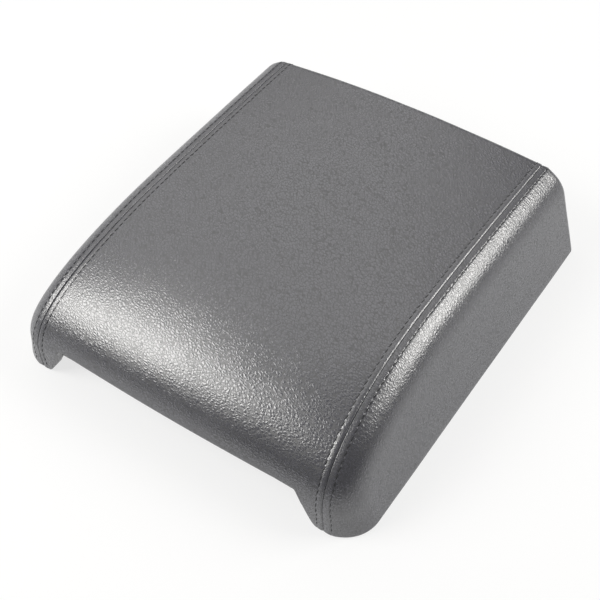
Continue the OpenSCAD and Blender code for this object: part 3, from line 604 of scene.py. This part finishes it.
def node(tree, kind, inputs=None, **settings):
    """A shader node with its settings. An input is a number or another node's output."""
    made = tree.nodes.new(kind)
    for k, value in settings.items():
        setattr(made, k, value)
    for k, value in (inputs or {}).items():
        if hasattr(value, "is_output"):
            tree.links.new(value, made.inputs[k])
        else:
            made.inputs[k].default_value = value
    return made


def noise(tree, vector, scale, detail, roughness, distortion=0.0):
    """Noise from 0 to 1, with scale as features to the metre."""
    return node(tree, "ShaderNodeTexNoise", {"Vector": vector, "Scale": scale, "Detail": detail,
        "Roughness": roughness, "Distortion": distortion}).outputs["Fac"]


def remap(tree, value, a, b, c, d):
    """Takes a to c and b to d, smoothly, and holds both beyond."""
    ends = {"From Min": a, "From Max": b, "To Min": c, "To Max": d}
    return node(tree, "ShaderNodeMapRange", {"Value": value, **ends},
        interpolation_type="SMOOTHSTEP").outputs["Result"]


def math_node(tree, op, a, b):
    """One sum on two numbers or outputs."""
    return node(tree, "ShaderNodeMath", {0: a, 1: b}, operation=op).outputs[0]


def mix_colour(tree, factor, a, b):
    """Colour a where factor is 0 and b where it is 1."""
    mixed = node(tree, "ShaderNodeMix", data_type="RGBA")
    for socket, value in ((0, factor), (6, a), (7, b)):
        if hasattr(value, "is_output"):
            tree.links.new(value, mixed.inputs[socket])
        else:
            mixed.inputs[socket].default_value = (*value, 1.0) if socket else value
    return mixed.outputs[2]


def bump(tree, shader, height, distance):
    """Relief of a height from 0 to 1 that stands distance metres high."""
    b = node(tree, "ShaderNodeBump", {"Height": height, "Distance": distance, "Strength": 1.0})
    tree.links.new(b.outputs["Normal"], shader.inputs["Normal"])


def shader_values(shader, **values):
    """Sets values that are the same all over the surface."""
    names = {"metallic": "Metallic", "roughness": "Roughness", "ior": "IOR", "specular": "Specular IOR Level"}
    for k, value in values.items():
        shader.inputs[names[k]].default_value = value


def pebble(tree, vector, scale, wobble, valley=0.3):
    """Pebble grain: domed cells with narrow valleys between them, 0 in a valley and 1 on a cell."""
    drift = {"Vector": vector, "Scale": scale * 0.6, "Detail": 2.0}
    shift = node(tree, "ShaderNodeTexNoise", drift).outputs["Color"]
    moved = node(tree, "ShaderNodeVectorMath", {0: shift, 1: (wobble / scale,) * 3}, operation="MULTIPLY")
    place = node(tree, "ShaderNodeVectorMath", {0: vector, 1: moved.outputs[0]}, operation="ADD").outputs[0]
    edge = node(tree, "ShaderNodeTexVoronoi", {"Vector": place, "Scale": scale, "Randomness": 1.0},
        feature="DISTANCE_TO_EDGE").outputs["Distance"]
    return remap(tree, edge, 0.0, valley, 0.0, 1.0)


# Grain of the leather: direction and stretch of its cells, features to the metre, and height in metres
GRAIN_TURN, GRAIN_STRETCH = math.radians(-20), 1.8
CELL_SCALE, SMALL_SCALE, FINE_SCALE, WRINKLE_SCALE, CLOUD_SCALE = 700.0, 1500.0, 3400.0, 190.0, 26.0
SMALL_SHARE, FINE_SHARE, WRINKLE_SHARE = 0.08, 0.02, 0.5
GRAIN_DEEP, DOME, TOP_AT, VALLEY_DULL = 0.00007, 0.45, 0.2, 0.2
TOP_ROUGH = (0.22, 0.26)


def leather_material(name, low, high, tint):
    """Embossed leather: cells stretched across the lid, smaller ones between them, and slow folds."""
    m, tree, shader, where = new_material(name)
    stretch = {"Rotation": (0, 0, GRAIN_TURN), "Scale": (GRAIN_STRETCH, 1, 1)}
    run = node(tree, "ShaderNodeMapping", {"Vector": where, **stretch}, vector_type="TEXTURE").outputs[0]
    cloud = noise(tree, where, CLOUD_SCALE, 4.0, 0.55)
    cells = pebble(tree, run, CELL_SCALE, 1.0, DOME)
    tops = remap(tree, cells, 0.0, TOP_AT, 0.0, 1.0)
    small = pebble(tree, run, SMALL_SCALE, 1.0)
    fine = noise(tree, where, FINE_SCALE, 2.0, 0.6)
    wrinkle = noise(tree, run, WRINKLE_SCALE, 3.0, 0.6, 0.6)
    colour = mix_colour(tree, tops, tint, mix_colour(tree, cloud, low, high))
    tree.links.new(colour, shader.inputs["Base Color"])
    dull = remap(tree, tops, 0.0, 1.0, VALLEY_DULL, 0.0)
    rough = math_node(tree, "ADD", remap(tree, cloud, 0.3, 0.7, *TOP_ROUGH), dull)
    tree.links.new(rough, shader.inputs["Roughness"])
    shader_values(shader, ior=1.62, specular=1.0)
    height = cells
    for layer_height, share in ((small, SMALL_SHARE), (fine, FINE_SHARE), (wrinkle, WRINKLE_SHARE)):
        height = math_node(tree, "ADD", height, math_node(tree, "MULTIPLY", layer_height, share))
    bump(tree, shader, height, GRAIN_DEEP)
    return m


def plain_material(name, colour, other, scale, grain, depth, **values):
    """Moulded plastic, rubber, foam or fabric: two tones over a cloud, and a grain of its own scale."""
    m, tree, shader, where = new_material(name)
    cloud = noise(tree, where, scale, 4.0, 0.55)
    tree.links.new(mix_colour(tree, cloud, colour, other), shader.inputs["Base Color"])
    shader_values(shader, **values)
    fine = noise(tree, where, grain, 3.0, 0.65)
    base = values.get("roughness", 0.5)
    tree.links.new(remap(tree, fine, 0.2, 0.8, base - 0.06, base + 0.06), shader.inputs["Roughness"])
    bump(tree, shader, fine, depth)
    return m


leather = leather_material("black_leather",
    (0.069, 0.069, 0.081), (0.087, 0.087, 0.102), (0.031, 0.031, 0.036))
backing = plain_material("leather_backing",
    (0.16, 0.16, 0.17), (0.24, 0.24, 0.25), 320.0, 2400.0, 0.00012, roughness=0.92)
thread = plain_material("black_thread",
    (0.012, 0.012, 0.013), (0.022, 0.022, 0.024), 900.0, 5200.0, 0.00008, roughness=0.7)

# The three leather panels, each a closed skin with its hems
left_outer, left_inner = side_panel(-1, 101)
right_outer, right_inner = side_panel(1, 131)
band_outer, band_inner = band_panel()
INNER_STRIDE = 5
band_x = band_columns()
over_arch = (np.abs(band_x) > LOBE_HALF_W - ARCH_W - 3) & (np.abs(band_x) < LOBE_HALF_W + 1)
centre = closed_shell("leather_centre", band_outer, band_inner, INNER_STRIDE, [leather, backing],
    np.flatnonzero(over_arch).tolist())
left = closed_shell("leather_left", left_outer, left_inner, INNER_STRIDE, [leather, backing])
right = closed_shell("leather_right", right_outer, right_inner, INNER_STRIDE, [leather, backing])
for piece, cad in ((centre, "centre_cover"), (left, "left_cover"), (right, "right_cover")):
    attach(piece, "lid")
    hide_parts(cad)

FOAM_ROWS, FOAM_REAR_ROWS, FOAM_COLUMNS, FOAM_ARC, FOAM_WALL = 90, 7, 81, 12, 6


def foam_grid(depth):
    """The whole layer from foot to foot at one depth, as one grid of points."""
    rear = 3 + np.linspace(0, 1, FOAM_REAR_ROWS)[1:]
    u = np.concatenate([np.linspace(0, 3, FOAM_ROWS), rear, [4.33, 4.67, 5.0]])[:, None]
    arc = np.linspace(0, 1, FOAM_ARC)[None, 1:]
    wall = np.linspace(0, 1, FOAM_WALL)[None, 1:]
    place = np.linspace(-1, 1, FOAM_COLUMNS)[None, :]
    parts = [layer(u, BAND, place, depth, LAYER_FOOT)[0]]
    for side in (-1, 1):
        over = layer(u, ARC, arc, depth, LAYER_FOOT, side)[0]
        down = layer(u, WALL, wall, depth, LAYER_FOOT, side)[0]
        flank = np.concatenate([over, down], 1)
        parts = parts + [flank] if side > 0 else [flank[:, ::-1]] + parts
    return np.concatenate(parts, 1)


foam_finish = plain_material("moulded_foam",
    (0.62, 0.57, 0.42), (0.72, 0.67, 0.52), 60.0, 1500.0, 0.00025, roughness=0.95)
foam = closed_shell("foam_padding", foam_grid(FOAM_OUT), foam_grid(FOAM_IN), 2, [foam_finish, foam_finish])
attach(foam, "lid")
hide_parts("foam_pad")


def row_distances(step):
    """Distance along the seam of each row between the hems."""
    u = panel_rows(step)[0][len(HEM_DEPTHS):-len(HEM_DEPTHS)]
    return distance_on(u, layer(u, ARC, 0.0, 0.0)[1])


# Topstitching, a row on each side of each seam
band_s, side_s = row_distances(BAND_STEP), row_distances(SIDE_STEP)
row_at = NEAR_SEAM.index(TOPSTITCH)
FIRST_STITCH = 4.0
for name, grid, index, s, up in (
        ("stitches_right_outer", right_outer, row_at, side_s, (0.6, -0.1, 1)),
        ("stitches_left_outer", left_outer, row_at, side_s, (-0.6, -0.1, 1)),
        ("stitches_left_inner", band_outer, row_at, band_s, (0, -0.1, 1)),
        ("stitches_right_inner", band_outer, len(band_x) - 1 - row_at, band_s, (0, -0.1, 1))):
    p, n = line_at(grid, index)
    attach(stitches(name, p, n, s, np.array(up), FIRST_STITCH, thread), "lid")


def metal_material(name, colour, other, rough, grain):
    """Plated steel: a fine cloudy bloom and short rolling marks."""
    m, tree, shader, where = new_material(name)
    cloud = noise(tree, where, 140.0, 4.0, 0.6)
    tree.links.new(mix_colour(tree, cloud, colour, other), shader.inputs["Base Color"])
    marks = node(tree, "ShaderNodeMapping", {"Vector": where, "Scale": (1.0, 0.12, 0.3)}).outputs[0]
    fine = noise(tree, marks, grain, 3.0, 0.6)
    tree.links.new(remap(tree, fine, 0.25, 0.75, rough - 0.07, rough + 0.08), shader.inputs["Roughness"])
    shader_values(shader, metallic=1.0)
    bump(tree, shader, fine, 0.00001)
    return m


def grained_plastic(name, colour, other, scale, rough):
    """Moulded plastic with an etched grain."""
    m, tree, shader, where = new_material(name)
    cloud = noise(tree, where, 18.0, 3.0, 0.5)
    tree.links.new(mix_colour(tree, cloud, colour, other), shader.inputs["Base Color"])
    grain = pebble(tree, where, scale, 1.0)
    fine = noise(tree, where, scale * 3, 2.0, 0.6)
    tree.links.new(remap(tree, fine, 0.2, 0.8, rough - 0.05, rough + 0.05), shader.inputs["Roughness"])
    bump(tree, shader, math_node(tree, "ADD", grain, math_node(tree, "MULTIPLY", fine, 0.4)), 0.00003)
    return m


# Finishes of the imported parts
shell_finish = plain_material("shell_abs",
    (0.040, 0.040, 0.042), (0.055, 0.055, 0.057), 22.0, 1400.0, 0.00002, roughness=0.5)
liner_finish = grained_plastic("liner_grain",
    (0.022, 0.022, 0.024), (0.032, 0.032, 0.034), 1500.0, 0.5)
rubber_finish = plain_material("bump_rubber",
    (0.016, 0.016, 0.016), (0.028, 0.028, 0.028), 200.0, 2600.0, 0.00004, roughness=0.75)
nylon_finish = grained_plastic("paddle_nylon",
    (0.020, 0.020, 0.022), (0.030, 0.030, 0.032), 2200.0, 0.42)
acetal_finish = plain_material("bush_acetal",
    (0.62, 0.60, 0.54), (0.70, 0.68, 0.62), 90.0, 1800.0, 0.00001, roughness=0.35)
zinc_finish = metal_material("zinc_steel",
    (0.52, 0.53, 0.55), (0.66, 0.67, 0.68), 0.34, 900.0)
spring_finish = metal_material("spring_steel",
    (0.42, 0.42, 0.43), (0.55, 0.55, 0.56), 0.26, 1600.0)
screw_finish = metal_material("black_zinc_steel",
    (0.060, 0.060, 0.064), (0.110, 0.110, 0.116), 0.36, 1300.0)
FINISHES = {
    "upper_shell": shell_finish, "inner_liner": liner_finish, "latch_paddle": nylon_finish,
    "bump_stop_front_left": rubber_finish, "bump_stop_front_right": rubber_finish,
    "bump_stop_rear_left": rubber_finish, "bump_stop_rear_right": rubber_finish,
    "hinge_bush_left": acetal_finish, "hinge_bush_right": acetal_finish,
    "latch_bracket": zinc_finish, "latch_pin": zinc_finish, "hinge_bracket": zinc_finish,
    "hinge_leaf": zinc_finish, "hinge_pin": zinc_finish, "latch_clip": spring_finish,
    "hinge_clip": spring_finish, "latch_spring": spring_finish, "liner_screws": screw_finish,
    "latch_screws": screw_finish, "hinge_screws": screw_finish,
}
for name, finish in FINISHES.items():
    for slot in nodes[name].material_slots:
        slot.material = finish

# Camera: the photograph's view, solved from the outline, the seams and the lower edges
FOCAL_PX, PICTURE_PX, SENSOR, LOOK_AT = 1134.718, 600, 36.0, (0, -1.2, 30)
AZ, EL, ROLL_DEG, DISTANCE, SHIFT_X, SHIFT_Y = 38.355, 50.227, -4.744, 693.336, 1.209, -19.005
az, el, turn = (math.radians(a) for a in (AZ, EL, ROLL_DEG))
back = Vector((math.sin(az) * math.cos(el), -math.cos(az) * math.cos(el), math.sin(el)))
level = (-back).cross(Vector((0, 0, 1))).normalized()
upright = level.cross(-back)
right_dir = level * math.cos(turn) + upright * math.sin(turn)
up_dir = -level * math.sin(turn) + upright * math.cos(turn)
camera = bpy.data.objects.new("camera", bpy.data.cameras.new("camera"))
bpy.context.scene.collection.objects.link(camera)
eye = Vector(LOOK_AT) + back * DISTANCE + right_dir * SHIFT_X + up_dir * SHIFT_Y
axes = Matrix((right_dir, up_dir, back)).transposed().to_4x4()
camera.matrix_world = Matrix.Translation(eye * MM) @ axes
camera.data.sensor_width = SENSOR
camera.data.lens = FOCAL_PX / PICTURE_PX * SENSOR
camera.data.clip_start, camera.data.clip_end = 0.01, 20
bpy.context.scene.camera = camera

# Floor, world and lamps. Metal mirrors the white up to the height that a paper sweep would reach.
SHADOW_SHARE, FILL = 0.25, 0.08
SWEEP_TOP = (math.sin(math.radians(0.5)), math.sin(math.radians(4)))
FLOOR_HALF, FLOOR_Z = 3000.0, -0.02
corners = ((-1, -1), (1, -1), (1, 1), (-1, 1))
floor = mesh_object("floor", [(x * FLOOR_HALF, y * FLOOR_HALF, FLOOR_Z) for x, y in corners],
    [(0, 1, 2, 3)], [])
paper = bpy.data.materials.new("floor_paper")
paper.use_nodes = True
tree = paper.node_tree
tree.nodes.clear()
surface_out = tree.nodes.new("ShaderNodeOutputMaterial")
diffuse = node(tree, "ShaderNodeBsdfDiffuse", {"Color": (0.85, 0.85, 0.85, 1)})
white = node(tree, "ShaderNodeEmission", {"Color": (1, 1, 1, 1), "Strength": 1.0})
path = tree.nodes.new("ShaderNodeLightPath")
seen = math_node(tree, "MAXIMUM", path.outputs["Is Camera Ray"], path.outputs["Is Glossy Ray"])
seen = math_node(tree, "MAXIMUM", seen, path.outputs["Is Transmission Ray"])
share = math_node(tree, "MULTIPLY", seen, 1 - SHADOW_SHARE)
mixed = node(tree, "ShaderNodeMixShader", {0: share})
tree.links.new(diffuse.outputs[0], mixed.inputs[1])
tree.links.new(white.outputs[0], mixed.inputs[2])
tree.links.new(mixed.outputs[0], surface_out.inputs[0])
floor.data.materials.append(paper)

world = bpy.data.worlds.new("studio")
bpy.context.scene.world = world
world.use_nodes = True
tree = world.node_tree
tree.nodes.clear()
world_out = tree.nodes.new("ShaderNodeOutputWorld")
path = tree.nodes.new("ShaderNodeLightPath")
heading = tree.nodes.new("ShaderNodeTexCoord").outputs["Generated"]
up = node(tree, "ShaderNodeSeparateXYZ", {0: heading}).outputs["Z"]
low_white = remap(tree, up, SWEEP_TOP[0], SWEEP_TOP[1], 1.0 - FILL, 0.0)
seen = math_node(tree, "MAXIMUM", path.outputs["Is Camera Ray"], path.outputs["Is Transmission Ray"])
seen = math_node(tree, "MULTIPLY", seen, 1.0 - FILL)
mirrored = math_node(tree, "MULTIPLY", path.outputs["Is Glossy Ray"], low_white)
strength = math_node(tree, "ADD", math_node(tree, "ADD", seen, mirrored), FILL)
studio = node(tree, "ShaderNodeBackground", {"Color": (1, 1, 1, 1), "Strength": strength})
tree.links.new(studio.outputs[0], world_out.inputs[0])


def softbox(name, azimuth, elevation, distance, width, height, watts):
    """A rectangular lamp that looks at the lid. Azimuth 0 is the front, 90 the right side."""
    a, e = math.radians(azimuth), math.radians(elevation)
    place = Vector((math.sin(a) * math.cos(e), -math.cos(a) * math.cos(e), math.sin(e))) * distance
    data = bpy.data.lights.new(name, "AREA")
    data.shape, data.size, data.size_y, data.energy = "RECTANGLE", width, height, watts
    data.color = (1.0, 0.99, 0.96)
    lamp = bpy.data.objects.new(name, data)
    bpy.context.scene.collection.objects.link(lamp)
    lamp.location = place
    lamp.rotation_mode = "QUATERNION"
    lamp.rotation_quaternion = (-place).to_track_quat("-Z", "Y")


LAMP_REACH = 1.3
softbox("front_left", -48.8, 42.8, LAMP_REACH, 0.72, 0.75, 13.3)
softbox("rear_right", 127.0, 36.0, LAMP_REACH, 0.72, 0.60, 11.5)
softbox("rear_left", 227.7, 54.6, LAMP_REACH, 1.54, 1.66, 8.2)

bpy.context.scene.view_settings.view_transform = "Standard"
